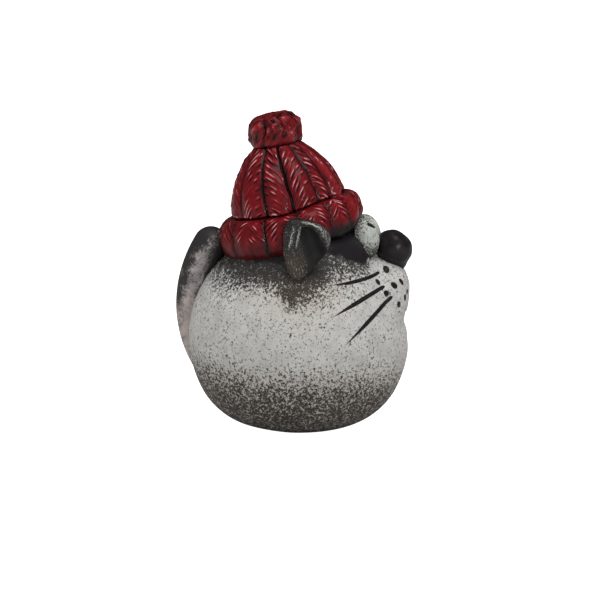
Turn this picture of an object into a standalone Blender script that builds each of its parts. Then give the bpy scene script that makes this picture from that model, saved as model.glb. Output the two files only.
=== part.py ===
# Round ceramic cat with a knitted hat, built from the clay pieces that a potter would join.
# Metres, +Z up. The cat faces -Y, its right side is -X, and it stands on the flat of its foot.
from math import acos, asin, atan2, cos, pi, radians, sin, sqrt

import bmesh
import bpy
from mathutils import Vector

# Body: a thrown hollow ball with a flat foot; the start of its rounding is an angle down from the top
BALL_RADIUS = 0.055
BALL_WALL = 0.005
FOOT_RADIUS = 0.017
FOOT_START = radians(116.5)
FOOT_VENT_RADIUS = 0.007
HEAD_VENT_RADIUS = 0.004
SEAT_GAP = 0.0003

# Hat: its axis leans back, and all its heights are measured from the line where cuff meets crown; the
# grooves between the ribs lie at these angles from the side, positive ahead, the same on both sides
HAT_LEAN = radians(10.5)
HAT_FORWARD = 0.0073
HAT_RISE = 0.0142
CROWN_RADIUS = 0.0288
CROWN_HEIGHT = 0.0288
CROWN_PEAK = 0.0424
CROWN_TAPER = 1.7
CROWN_WALL = 0.0045
NECK_RADIUS = 0.0272
RIB_GROOVES = tuple(radians(angle) for angle in (-77, -55.7, -23.1, 4.4, 30.7, 55.4, 77))
RIB_COUNT = 2 * len(RIB_GROOVES)
RIB_DEPTH = 0.0016
RIB_FULLNESS = 0.7
CUFF_BULGE = 0.0095
CUFF_HEIGHT = 0.0212
CUFF_HEIGHT_LEAN = 0.0040
POMPOM_RADIUS = 0.0136
POMPOM_HEIGHT = 0.0195
POMPOM_SQUARENESS = 2.9
POMPOM_FLAT = 0.0035
POMPOM_TUFTS = 8
POMPOM_TUFT_DEPTH = 0.0012
POMPOM_TWIST = radians(12)

# Face
NOSE_RADIUS = 0.0089
NOSE_LENGTH = 0.0186
NOSE_ELEVATION = radians(43.4)
NOSE_STAND_OFF = 0.0104
EYE_WIDTH = 0.0124
EYE_DEPTH = 0.0138
EYE_HEIGHT = 0.0198
EYE_SPACING = 0.0136
EYE_FORWARD = 0.0338
EYE_SINK = 0.001
EYE_LEAN = radians(14)
MUZZLE_WIDTH = 0.030
MUZZLE_LENGTH = 0.028
MUZZLE_DEPTH = 0.020
MUZZLE_PROUD = 0.0062
MUZZLE_ELEVATION = radians(29)
MUZZLE_SPREAD = radians(9.5)

# Ears: upright cups that lean on the cuff
EAR_WIDTH = 0.0215
EAR_HEIGHT = 0.0312
EAR_THICKNESS = 0.0115
EAR_TAPER = 0.12
EAR_PRESS = 0.0012
EAR_SINK = 0.0014
EAR_FORWARD = 0.0078
EAR_RIM = 0.0042
EAR_FLOOR = 0.0035

# Tail: a roll of clay up the back, from the low end to a round tip behind the cuff
TAIL_ROOT_THICKNESS = 0.011
TAIL_TIP_THICKNESS = 0.0155
TAIL_ROOT_ELEVATION = radians(-20)
TAIL_TIP_ELEVATION = radians(47)
TAIL_PROUD = 0.0176
TAIL_CURL = 1.1

# How finely the solids are faceted
BALL_STEPS = 48
BALL_ARCS = 18
FOOT_ARCS = 7
CAVITY_ARCS = 9
HOLLOW_STEPS = 32
STEPS_PER_RIB = 6
STEPS_PER_TUFT = 5
CROWN_ROWS = 8
CUFF_ROWS = 5
EGG_SEGMENTS = 24
EGG_RINGS = 14
TAIL_POINTS = 16
TAIL_TIP_RINGS = 4

for leftover in list(bpy.data.objects):
    bpy.data.objects.remove(leftover, do_unlink=True)

parts = bpy.data.collections.new("cat_figurine")
cutters = bpy.data.collections.new("cutters")
cutters.hide_render = True
bpy.context.scene.collection.children.link(parts)
bpy.context.scene.collection.children.link(cutters)


def linear(channel):
    """One sRGB channel, 0 to 255, as linear light."""
    value = channel / 255
    return value / 12.92 if value <= 0.04045 else ((value + 0.055) / 1.055) ** 2.4


def glaze(name, colour, roughness):
    """A fired finish: its sRGB colour and how rough it is."""
    material = bpy.data.materials.new(name)
    material.use_nodes = True
    shader = material.node_tree.nodes["Principled BSDF"]
    shader.inputs["Base Color"].default_value = [linear(channel) for channel in colour] + [1]
    shader.inputs["Roughness"].default_value = roughness
    shader.inputs["Metallic"].default_value = 0
    material.diffuse_color = shader.inputs["Base Color"].default_value
    return material


def place(thing, parent, location=(0, 0, 0), rotation=(0, 0, 0)):
    thing.parent = parent
    thing.location = location
    thing.rotation_euler = rotation
    return thing


def as_part(thing, material):
    """Puts the object among the parts, with its finish and smooth shading."""
    parts.objects.link(thing)
    thing.data.materials.clear()
    thing.data.materials.append(material)
    thing.data.shade_smooth()
    return thing


def as_cutter(thing):
    cutters.objects.link(thing)
    thing.hide_render = True
    thing.display_type = "WIRE"
    return thing


def cut(thing, *tools):
    for tool in tools:
        boolean = thing.modifiers.new(tool.name, "BOOLEAN")
        boolean.operation = "DIFFERENCE"
        boolean.solver = "EXACT"
        boolean.object = tool


def turned(name, profile, steps, closed):
    """A profile of (radius, height) points, run down its outer side, turned about Z by a Screw modifier."""
    count = len(profile)
    edges = [(i, i + 1) for i in range(count - 1)]
    if closed:
        edges.append((count - 1, 0))
    mesh = bpy.data.meshes.new(name)
    mesh.from_pydata([(radius, 0, height) for radius, height in profile], edges, [])
    thing = bpy.data.objects.new(name, mesh)
    screw = thing.modifiers.new("turn", "SCREW")
    screw.steps = steps
    screw.render_steps = steps
    screw.use_merge_vertices = not closed
    screw.merge_threshold = 0.00001
    return thing


def reshaped(thing, move):
    """The object with its modifiers made real and each vertex moved by a function."""
    bpy.context.scene.collection.objects.link(thing)
    graph = bpy.context.evaluated_depsgraph_get()
    mesh = bpy.data.meshes.new_from_object(thing.evaluated_get(graph))
    bpy.context.scene.collection.objects.unlink(thing)
    thing.modifiers.clear()
    thing.data = mesh
    for vertex in mesh.vertices:
        vertex.co = move(vertex.co)
    return thing


def egg(name, semi_x, semi_y, semi_z, segments=EGG_SEGMENTS, squareness=2, taper=0):
    """An egg on Z: squareness above 2 makes it squat, and taper widens its top."""
    mesh = bpy.data.meshes.new(name)
    shape = bmesh.new()
    bmesh.ops.create_uvsphere(shape, u_segments=segments, v_segments=EGG_RINGS, radius=1)
    for vertex in shape.verts:
        x, y, z = vertex.co
        reach = (sqrt(x * x + y * y) ** squareness + abs(z) ** squareness) ** (-1 / squareness)
        widening = 1 + taper * z
        vertex.co = (x * reach * semi_x, y * reach * semi_y * widening, z * reach * semi_z)
    shape.to_mesh(mesh)
    shape.free()
    return bpy.data.objects.new(name, mesh)


def on_ball(elevation, sideways, distance):
    """The point at this distance from the ball's centre, up from straight ahead and then to the left."""
    level = cos(elevation)
    return Vector((level * sin(sideways), -level * cos(sideways), sin(elevation))) * distance


def arc(radius, start, end, count):
    """Points on an arc about the origin, its angles measured down from straight up."""
    angles = [start + (end - start) * i / count for i in range(count + 1)]
    return [(radius * sin(angle), radius * cos(angle)) for angle in angles]


def ball_profile():
    """The ball's closed section: outer arc, rounded foot, vent, inner arc and the vent under the hat."""
    points = arc(BALL_RADIUS, asin(HEAD_VENT_RADIUS / BALL_RADIUS), FOOT_START, BALL_ARCS)
    for out, up in arc(foot_rounding, FOOT_START, pi, FOOT_ARCS)[1:]:
        points.append((FOOT_RADIUS + out, foot_rounding - ball_height + up))
    inside = BALL_RADIUS - BALL_WALL
    floor = BALL_WALL - ball_height
    points += [(FOOT_VENT_RADIUS, -ball_height), (FOOT_VENT_RADIUS, floor)]
    return points + arc(inside, acos(floor / inside), asin(HEAD_VENT_RADIUS / inside), CAVITY_ARCS)


def crown_radius(height):
    return CROWN_RADIUS * (1 - (height / CROWN_PEAK) ** CROWN_TAPER)


def crown_profile():
    """The solid crown: flat top, curved wall, and a neck that runs down inside the cuff into the ball."""
    points = [(0, CROWN_HEIGHT)]
    for i in range(CROWN_ROWS + 1):
        height = CROWN_HEIGHT * (1 - i / CROWN_ROWS)
        points.append((crown_radius(height), height))
    return points + [(NECK_RADIUS, -SEAT_GAP), (NECK_RADIUS, -crown_line), (0, -crown_line)]


def hollow_profile():
    """What is hollow under the crown, open at its foot."""
    roof = CROWN_HEIGHT - CROWN_WALL
    points = [(0, roof)]
    for i in range(CROWN_ROWS):
        height = roof * (1 - i / CROWN_ROWS)
        points.append((crown_radius(height) - CROWN_WALL - RIB_DEPTH, height))
    inside = NECK_RADIUS - CROWN_WALL
    return points + [(inside, 0), (inside, -2 * crown_line), (0, -2 * crown_line)]


def cuff_profile(grown):
    """Half an ellipse that bulges from the neck, closed by a straight inner wall; grown makes it a seat."""
    half = CUFF_HEIGHT / 2
    bore = NECK_RADIUS + SEAT_GAP
    bulge = arc(1, 0, pi, 2 * CUFF_ROWS)
    outer = [(bore + (CUFF_BULGE + grown) * out, (half + grown) * up - half - SEAT_GAP) for out, up in bulge]
    return [(bore - grown, outer[0][1])] + outer[1:-1] + [(bore - grown, outer[-1][1])]


def groove(count, angle):
    """How deep the grooves between this many ribs or tufts are at this angle, from 0 on a crest to 1."""
    return 1 - abs(sin(count * angle / 2)) ** RIB_FULLNESS


def at_rib(point, drawn):
    """The point drawn in, and turned from its place among even ribs to where its own rib lies."""
    radius = sqrt(point.x**2 + point.y**2)
    rows = [0] + [i + 0.5 for i in range(len(RIB_GROOVES))] + [len(RIB_GROOVES)]
    angles = [-pi / 2, *RIB_GROOVES, pi / 2]
    row = (atan2(-point.y, abs(point.x)) / pi + 0.5) * len(RIB_GROOVES)
    i = max(i for i in range(len(rows) - 1) if rows[i] <= max(row, 0))
    angle = angles[i] + (angles[i + 1] - angles[i]) * (row - rows[i]) / (rows[i + 1] - rows[i])
    across = cos(angle) * (radius - drawn)
    return Vector((-across if point.x < 0 else across, -sin(angle) * (radius - drawn), point.z))


def ribbed_crown(point):
    """Ribs that narrow with the crown, and none on the neck."""
    radius = sqrt(point.x**2 + point.y**2)
    depth = 0 if point.z < 0 else RIB_DEPTH / CROWN_RADIUS * radius
    return at_rib(point, depth * groove(RIB_COUNT, atan2(point.y, point.x)))


def ribbed_cuff(point):
    """Ribs on the cuff's outer side only, and its lower edge dropped at the back and raised in front."""
    radius = sqrt(point.x**2 + point.y**2)
    bulge = max(0, (radius - NECK_RADIUS - SEAT_GAP) / CUFF_BULGE)
    ribbed = at_rib(point, RIB_DEPTH * groove(RIB_COUNT, atan2(point.y, point.x)) * min(1, bulge))
    ribbed.z += CUFF_HEIGHT_LEAN * ribbed.y / radius * point.z / CUFF_HEIGHT
    return ribbed


def tufted(point):
    """The pompom's tufts, divided by grooves that twist as they rise and fade at its top, and its flat bottom."""
    radius = sqrt(point.x**2 + point.y**2)
    drawn = POMPOM_TUFT_DEPTH * min(1, radius / POMPOM_RADIUS) * groove(POMPOM_TUFTS, atan2(point.x, point.y))
    turn = atan2(point.x, point.y) + POMPOM_TWIST * point.z / POMPOM_HEIGHT
    return Vector(((radius - drawn) * sin(turn), (radius - drawn) * cos(turn), max(point.z, -pompom_seat)))


def tail_section(share):
    """The tail's centre (forward and up from the ball's centre) and radius at a share of its length."""
    elevation = TAIL_ROOT_ELEVATION + (TAIL_TIP_ELEVATION - TAIL_ROOT_ELEVATION) * share
    radius = (TAIL_ROOT_THICKNESS + (TAIL_TIP_THICKNESS - TAIL_ROOT_THICKNESS) * share) / 2
    distance = BALL_RADIUS + TAIL_PROUD * share**TAIL_CURL - radius
    return distance * cos(elevation), distance * sin(elevation), radius


def tail_rings():
    """The tail's sections, from its low end to where its round tip begins."""
    return [tail_section(i / (TAIL_POINTS - 1)) for i in range(TAIL_POINTS)]


def tail_tube(name):
    """A tapering tube along the tail's centre line, with a round tip."""
    rings = tail_rings()
    curve = bpy.data.curves.new(name, "CURVE")
    curve.dimensions = "3D"
    curve.bevel_depth = 1
    curve.bevel_resolution = 4
    curve.use_fill_caps = True
    back, up, radius = rings[-1]
    last_back, last_up, _ = rings[-2]
    onward = Vector((back - last_back, up - last_up)).normalized()
    for out, ahead in arc(radius, pi / 2, 0, TAIL_TIP_RINGS + 1)[1:-1]:
        rings.append((back + onward.x * ahead, up + onward.y * ahead, out))
    spline = curve.splines.new("POLY")
    spline.points.add(len(rings) - 1)
    for point, (ring_back, ring_up, ring_radius) in zip(spline.points, rings):
        point.co = (0, ring_back, ring_up, 1)
        point.radius = ring_radius
    guide = bpy.data.objects.new(name + "_guide", curve)
    bpy.context.scene.collection.objects.link(guide)
    mesh = bpy.data.meshes.new_from_object(guide.evaluated_get(bpy.context.evaluated_depsgraph_get()))
    bpy.data.objects.remove(guide, do_unlink=True)
    shape = bmesh.new()
    shape.from_mesh(mesh)
    bmesh.ops.remove_doubles(shape, verts=shape.verts, dist=0.000001)
    shape.to_mesh(mesh)
    shape.free()
    return bpy.data.objects.new(name, mesh)


# The rounding that leads from the ball to its flat foot, and how high the ball's centre is
foot_rounding = BALL_RADIUS - FOOT_RADIUS / sin(FOOT_START)
ball_height = foot_rounding - (BALL_RADIUS - foot_rounding) * cos(FOOT_START)

# Where the ball's axis stands, so that the whole figurine is centred on the origin
nose_distance = BALL_RADIUS + NOSE_STAND_OFF
front_reach = max(BALL_RADIUS, nose_distance * cos(NOSE_ELEVATION) + NOSE_RADIUS)
back_reach = max(back + radius for back, up, radius in tail_rings())
figurine = bpy.data.objects.new("figurine", None)
parts.objects.link(figurine)
figurine.location = (0, (front_reach - back_reach) / 2, ball_height)

crown_line = BALL_RADIUS + HAT_RISE
pompom_seat = POMPOM_HEIGHT / 2 - POMPOM_FLAT
hat = bpy.data.objects.new("hat", None)
parts.objects.link(hat)
hat_location = (0, crown_line * sin(HAT_LEAN) - HAT_FORWARD, crown_line * cos(HAT_LEAN))
place(hat, figurine, hat_location, (-HAT_LEAN, 0, 0))

speckled_white = glaze("speckled_white", (174, 173, 169), 0.45)
muzzle_white = glaze("muzzle_white", (176, 178, 171), 0.4)
nose_black = glaze("nose_black", (30, 26, 28), 0.25)
eye_white = glaze("eye_white", (167, 170, 165), 0.35)
ear_grey = glaze("ear_grey", (62, 60, 57), 0.4)
tail_grey = glaze("tail_grey", (104, 100, 99), 0.5)
crown_red = glaze("crown_red", (122, 14, 20), 0.2)
cuff_red = glaze("cuff_red", (110, 14, 20), 0.2)
pompom_red = glaze("pompom_red", (128, 18, 26), 0.25)

# Seats: what each piece leaves free around the piece that carries it
whole_ball = arc(BALL_RADIUS + SEAT_GAP, 0, pi, BALL_STEPS // 2)
ball_seat = as_cutter(turned("ball_seat", whole_ball, BALL_STEPS, False))
place(ball_seat, figurine)
rib_steps = RIB_COUNT * STEPS_PER_RIB
cuff_seat = as_cutter(reshaped(turned("cuff_seat", cuff_profile(SEAT_GAP), rib_steps, True), ribbed_cuff))
place(cuff_seat, hat)
crown_hollow = as_cutter(turned("crown_hollow", hollow_profile(), HOLLOW_STEPS, False))
place(crown_hollow, hat)

# Body
body = as_part(turned("body_shell", ball_profile(), BALL_STEPS, True), speckled_white)
place(body, figurine)

# Hat
crown = as_part(reshaped(turned("hat_crown", crown_profile(), rib_steps, False), ribbed_crown), crown_red)
place(crown, hat)
cut(crown, crown_hollow, ball_seat)

cuff = as_part(reshaped(turned("hat_cuff", cuff_profile(0), rib_steps, True), ribbed_cuff), cuff_red)
place(cuff, hat)
cut(cuff, ball_seat)

tuft_steps = POMPOM_TUFTS * STEPS_PER_TUFT
pompom = egg("hat_pompom", POMPOM_RADIUS, POMPOM_RADIUS, POMPOM_HEIGHT / 2, tuft_steps, POMPOM_SQUARENESS)
as_part(reshaped(pompom, tufted), pompom_red)
place(pompom, hat, (0, 0, CROWN_HEIGHT + SEAT_GAP + pompom_seat))

# Nose, and the seat that it presses into its neighbours
nose_place = on_ball(NOSE_ELEVATION, 0, nose_distance)
nose = as_part(egg("nose", NOSE_RADIUS, NOSE_RADIUS, NOSE_LENGTH / 2), nose_black)
place(nose, figurine, nose_place)
cut(nose, ball_seat)
nose_seat = egg("nose_seat", NOSE_RADIUS + SEAT_GAP, NOSE_RADIUS + SEAT_GAP, NOSE_LENGTH / 2 + SEAT_GAP)
place(as_cutter(nose_seat), figurine, nose_place)

for side, sign in (("right", -1), ("left", 1)):
    # A slab on the far side of the middle keeps the pair apart
    middle = bpy.data.meshes.new("middle_" + side)
    slab = bmesh.new()
    bmesh.ops.create_cube(slab, size=4 * BALL_RADIUS)
    slab.to_mesh(middle)
    slab.free()
    beyond = as_cutter(bpy.data.objects.new("middle_" + side, middle))
    place(beyond, figurine, (-sign * (2 * BALL_RADIUS - SEAT_GAP / 2), 0, 0))

    # Muzzle pad
    pad_place = on_ball(MUZZLE_ELEVATION, sign * MUZZLE_SPREAD, BALL_RADIUS + MUZZLE_PROUD - MUZZLE_DEPTH / 2)
    pad = as_part(egg("muzzle_" + side, MUZZLE_WIDTH / 2, MUZZLE_LENGTH / 2, MUZZLE_DEPTH / 2), muzzle_white)
    place(pad, figurine, pad_place, pad_place.to_track_quat("Z", "Y").to_euler())
    cut(pad, ball_seat, nose_seat, beyond)

    # Eye
    eye = as_part(egg("eye_" + side, EYE_WIDTH / 2, EYE_DEPTH / 2, EYE_HEIGHT / 2), eye_white)
    brow = sqrt(BALL_RADIUS**2 - EYE_FORWARD**2 - (EYE_SPACING / 2) ** 2)
    eye_place = (sign * EYE_SPACING / 2, -EYE_FORWARD, brow + EYE_HEIGHT / 2 - EYE_SINK)
    place(eye, figurine, eye_place, (-EYE_LEAN, 0, 0))
    cut(eye, ball_seat, cuff_seat, nose_seat, beyond)

    # Ear: an upright egg, hollowed from outside
    ear_egg = egg("ear_" + side, EAR_THICKNESS / 2, EAR_WIDTH / 2, EAR_HEIGHT / 2, taper=EAR_TAPER)
    ear = as_part(ear_egg, ear_grey)
    ear_out = NECK_RADIUS + SEAT_GAP + CUFF_BULGE + EAR_THICKNESS / 2 - EAR_PRESS
    shoulder = sqrt(BALL_RADIUS**2 - ear_out**2 - EAR_FORWARD**2)
    ear_up = shoulder + EAR_HEIGHT / 2 - EAR_SINK
    place(ear, figurine, (sign * ear_out, -EAR_FORWARD, ear_up))
    hollow = egg(
        "ear_hollow_" + side,
        EAR_THICKNESS - EAR_FLOOR,
        EAR_WIDTH / 2 - EAR_RIM,
        EAR_HEIGHT / 2 - EAR_RIM,
        taper=EAR_TAPER,
    )
    place(as_cutter(hollow), figurine, (sign * (ear_out + EAR_THICKNESS / 2), -EAR_FORWARD, ear_up))
    cut(ear, hollow, ball_seat, cuff_seat)

# Tail
tail = as_part(tail_tube("tail"), tail_grey)
place(tail, figurine)
cut(tail, ball_seat, cuff_seat)
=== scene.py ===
from functools import partial

import bpy
import numpy as np
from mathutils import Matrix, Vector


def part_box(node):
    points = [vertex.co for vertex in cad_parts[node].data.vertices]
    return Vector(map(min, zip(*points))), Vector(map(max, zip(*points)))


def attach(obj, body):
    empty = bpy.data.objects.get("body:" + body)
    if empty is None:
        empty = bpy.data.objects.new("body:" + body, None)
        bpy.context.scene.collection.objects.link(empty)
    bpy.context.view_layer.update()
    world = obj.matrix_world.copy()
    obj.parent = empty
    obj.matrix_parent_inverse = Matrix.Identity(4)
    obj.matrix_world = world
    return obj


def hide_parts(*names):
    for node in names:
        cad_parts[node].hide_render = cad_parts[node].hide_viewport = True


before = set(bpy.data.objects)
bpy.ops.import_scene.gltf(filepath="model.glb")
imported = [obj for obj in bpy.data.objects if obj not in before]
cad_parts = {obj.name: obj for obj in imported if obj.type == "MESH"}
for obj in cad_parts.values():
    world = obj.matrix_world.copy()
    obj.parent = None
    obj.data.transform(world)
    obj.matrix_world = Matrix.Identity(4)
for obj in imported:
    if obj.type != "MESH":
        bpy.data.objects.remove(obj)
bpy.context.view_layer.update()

# Shapes are worked out in millimetres: x to the cat's left, f the way it looks, z up from the ball's middle.
# A piece's mesh entry is the rows and columns of its grid.
mm = 0.001
ball = {"radius": 55.0, "wall": 5.0, "footRadius": 17.0, "footStart": 116.5, "vent": 7.0, "hatVent": 4.0,
        "mesh": (176, 400)}
footRounding = ball["radius"] - ball["footRadius"] / np.sin(np.radians(ball["footStart"]))
ballHeight = footRounding - (ball["radius"] - footRounding) * np.cos(np.radians(ball["footStart"]))
shellLow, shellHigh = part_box("body_shell")
ballY = (shellLow.y + shellHigh.y) / 2


def smooth(value, start, end):
    # 0 before start, 1 after end, and an S-curve between
    t = np.clip((value - start) / (end - start), 0, 1)
    return t * t * (3 - 2 * t)


def bump(value, centre, width):
    # a bell of height 1 about the centre
    return np.exp(-(((value - centre) / width) ** 2))


def fullTurn(count):
    # this many even steps round a circle
    return np.linspace(0, 2 * np.pi, count, endpoint=False)


def linear(hexColour):
    # sRGB hex to linear light
    channels = [int(hexColour[i:i + 2], 16) / 255 for i in (1, 3, 5)]
    return [c / 12.92 if c <= 0.04045 else ((c + 0.055) / 1.055) ** 2.4 for c in channels] + [1]


def onBall(elevation, side, distance):
    # the point at this distance from the ball's centre; side is 0 ahead and grows to the cat's left
    e, s = np.radians(elevation), np.radians(side)
    way = np.stack([np.cos(e) * np.sin(s), np.cos(e) * np.cos(s), np.sin(e) + 0 * s], -1)
    return way * np.asarray(distance)[..., None]


def anglesOf(points):
    # elevation and side, in degrees, of points about the ball's centre
    elevation = np.degrees(np.arcsin(points[..., 2] / np.linalg.norm(points, axis=-1)))
    return elevation, np.degrees(np.arctan2(points[..., 0], points[..., 1]))


def eggGrid(rows, columns):
    # unit directions from the top pole to the bottom pole, without the poles themselves
    down = np.linspace(0, np.pi, rows + 2)[1:-1, None]
    turn = fullTurn(columns)[None, :]
    return np.stack([np.sin(down) * np.sin(turn), np.sin(down) * np.cos(turn), np.cos(down) + 0 * turn], -1)


def awayFrom(way, aim):
    # the angle between each unit direction and a direction in the middle plane
    return np.arccos(np.clip(way @ [0, *aim], -1, 1))


def leant(points, degrees):
    # turned about the x axis so that the top goes back
    a = np.radians(degrees)
    f, z = points[..., 1], points[..., 2]
    return np.stack([points[..., 0], f * np.cos(a) - z * np.sin(a), f * np.sin(a) + z * np.cos(a)], -1)


def makePiece(name, grid, node, material, rowsClose=False, layers=None, sharp=None):
    # grid[row, column] of points, or several such shells: columns close on themselves, and rows close too or
    # end in a fan; faces that point inwards are turned
    shells = grid if grid.ndim == 4 else grid[None]
    many, rows, columns = shells.shape[:3]
    index = np.arange(many * rows * columns).reshape(many, rows, columns)
    points = shells.reshape(-1, 3)
    upper = index if rowsClose else index[:, :-1]
    lower = np.roll(index, -1, 1) if rowsClose else index[:, 1:]
    quads = np.stack([upper, lower, np.roll(lower, -1, 2), np.roll(upper, -1, 2)], -1).reshape(-1, 4)
    fans = np.zeros((0, 3), int)
    if not rowsClose:
        points = np.concatenate([points, shells[:, 0].mean(1), shells[:, -1].mean(1)])
        first, last = index[:, 0], index[:, -1]
        tops = len(points) - 2 * many + np.arange(many)[:, None] + 0 * first
        fans = np.concatenate([
            np.stack([tops, first, np.roll(first, -1, 1)], -1).reshape(-1, 3),
            np.stack([tops + many, np.roll(last, -1, 1), last], -1).reshape(-1, 3)])
    shellQuads = quads[:len(quads) // many]
    a, b, c = points[shellQuads[:, 0]], points[shellQuads[:, 1]], points[shellQuads[:, 2]]
    if np.einsum("ij,ij->", a - shells[0].reshape(-1, 3).mean(0), np.cross(b - a, c - a)) < 0:
        quads, fans = quads[:, ::-1], fans[:, ::-1]
    world = np.stack([points[:, 0] * mm, ballY - points[:, 1] * mm, (points[:, 2] + ballHeight) * mm], -1)
    corners = np.concatenate([quads.ravel(), fans.ravel()]).astype(np.int32)
    starts = np.concatenate([np.arange(len(quads)) * 4, len(quads) * 4 + np.arange(len(fans)) * 3])
    mesh = bpy.data.meshes.new(name)
    mesh.vertices.add(len(world))
    mesh.vertices.foreach_set("co", world.ravel())
    mesh.loops.add(len(corners))
    mesh.loops.foreach_set("vertex_index", corners)
    mesh.polygons.add(len(starts))
    mesh.polygons.foreach_set("loop_start", starts.astype(np.int32))
    mesh.update(calc_edges=True)
    for layer, values in (layers or {}).items():
        full = values.reshape(-1)
        if not rowsClose:
            full = np.concatenate([full, [values[0].mean(), values[-1].mean()]])
        mesh.attributes.new(layer, "FLOAT", "POINT").data.foreach_set("value", full.astype(np.float32))
    mesh.shade_smooth()
    if sharp:
        mesh.set_sharp_from_angle(angle=np.radians(sharp))
    piece = bpy.data.objects.new(name, mesh)
    bpy.context.scene.collection.objects.link(piece)
    piece.data.materials.append(material)
    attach(piece, "root")
    if node:
        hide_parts(node)
    print(name, len(points), "points")


def plug(node, links):
    # gives each named input a value, or a link from another node's output
    for socket, value in links.items():
        if isinstance(value, bpy.types.NodeSocket):
            node.id_data.links.new(value, node.inputs[socket])
        else:
            node.inputs[socket].default_value = value


def addNode(tree, kind, links=None, stops=None, out=0, **settings):
    # one node with its settings, a ramp's stops and what feeds it; its output called out comes back
    node = tree.nodes.new("ShaderNode" + kind)
    for setting, value in settings.items():
        setattr(node, setting, value)
    if stops:
        ramp = node.color_ramp.elements
        while len(ramp) < len(stops):
            ramp.new(0.5)
        for element, (place, colour) in zip(ramp, stops):
            element.position = place
            element.color = linear(colour)
    plug(node, links or {})
    return node.outputs[out]


def hashed(a, b):
    # a steady number from 0 to 1 for each pair of counts
    value = np.sin(a * 12.9898 + b * 78.233) * 43758.5453
    return value - np.floor(value)


def waves(u, v, seed):
    # a smooth random field from -1 to 1: one steady number at each whole step of u and v, blended between
    left, low = np.floor(u), np.floor(v)
    s, t = smooth(u - left, 0, 1), smooth(v - low, 0, 1)
    near, far = [hashed(left + 31 * seed, low + j + 57 * seed) * (1 - s)
                 + hashed(left + 1 + 31 * seed, low + j + 57 * seed) * s for j in (0, 1)]
    return 2 * (near * (1 - t) + far * t) - 1


def leafCuts(slanted, side, row, pitch, reach, thick):
    # cuts and lips of a row of leaf-shaped strokes: slanted is how far along the row, side is across it, in
    # mm; each leaf is a pointed lip with a valley under it, and differs in place, length and strength
    index = np.floor(slanted / pitch)
    offset = slanted - (index + 0.5) * pitch - (hashed(index, row) - 0.5) * 0.45 * pitch
    middle = (hashed(index + 7, row) - 0.5) * 0.9 * reach
    part = (side - middle) / (reach * (0.6 + 0.6 * hashed(index + 3, row)))
    taper = np.clip(1 - part ** 2, 0, 1)
    body = taper ** 0.6 * (0.35 + 0.65 * smooth(hashed(index + 5, row), 0.05, 0.4))
    wide = thick * (0.45 + 0.55 * taper)
    return body * bump(offset, -2.0 * thick, 1.2 * wide), body * bump(offset, 0, wide)


def newMaterial(name):
    # the material, what adds a node to it, its shader and the place on the piece
    material = bpy.data.materials.new(name)
    material.use_nodes = True
    add = partial(addNode, material.node_tree)
    return material, add, material.node_tree.nodes["Principled BSDF"], add("TexCoord", out="Object")


# Sandy engobe: white clay slip full of dark grains, fired satin; under the hat and at the foot the grains
# close up to charcoal. It gives the eye salt and pepper: dark specks on white in the middle, light specks on
# dark elsewhere. Its four sizes are in mm, and a grain shows at the cover "from" and is full at "to".
engobe = {"white": "#bbbab6", "dull": "#acaaa6", "blush": "#b2aba4", "charcoal": "#363330",
          "brown": "#3c342b", "wet": "#1f1d20", "grain": 0.65, "speck": 1.4, "mottle": 8.0, "pepper": 2.1,
          "from": 0.22, "to": 0.84}

# White glaze of the eyes: the same clay under a thin glaze, so its specks are finer and melt into the white
eyeGlaze = {"white": "#b8bab4", "dull": "#a2a59e", "blush": "#a8a8a0", "charcoal": "#34342f",
            "brown": "#3b382f", "wet": "#1f1d20", "grain": 0.45, "speck": 1.0, "mottle": 4.0, "pepper": 1.7,
            "from": 0.2, "to": 1.0}


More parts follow.
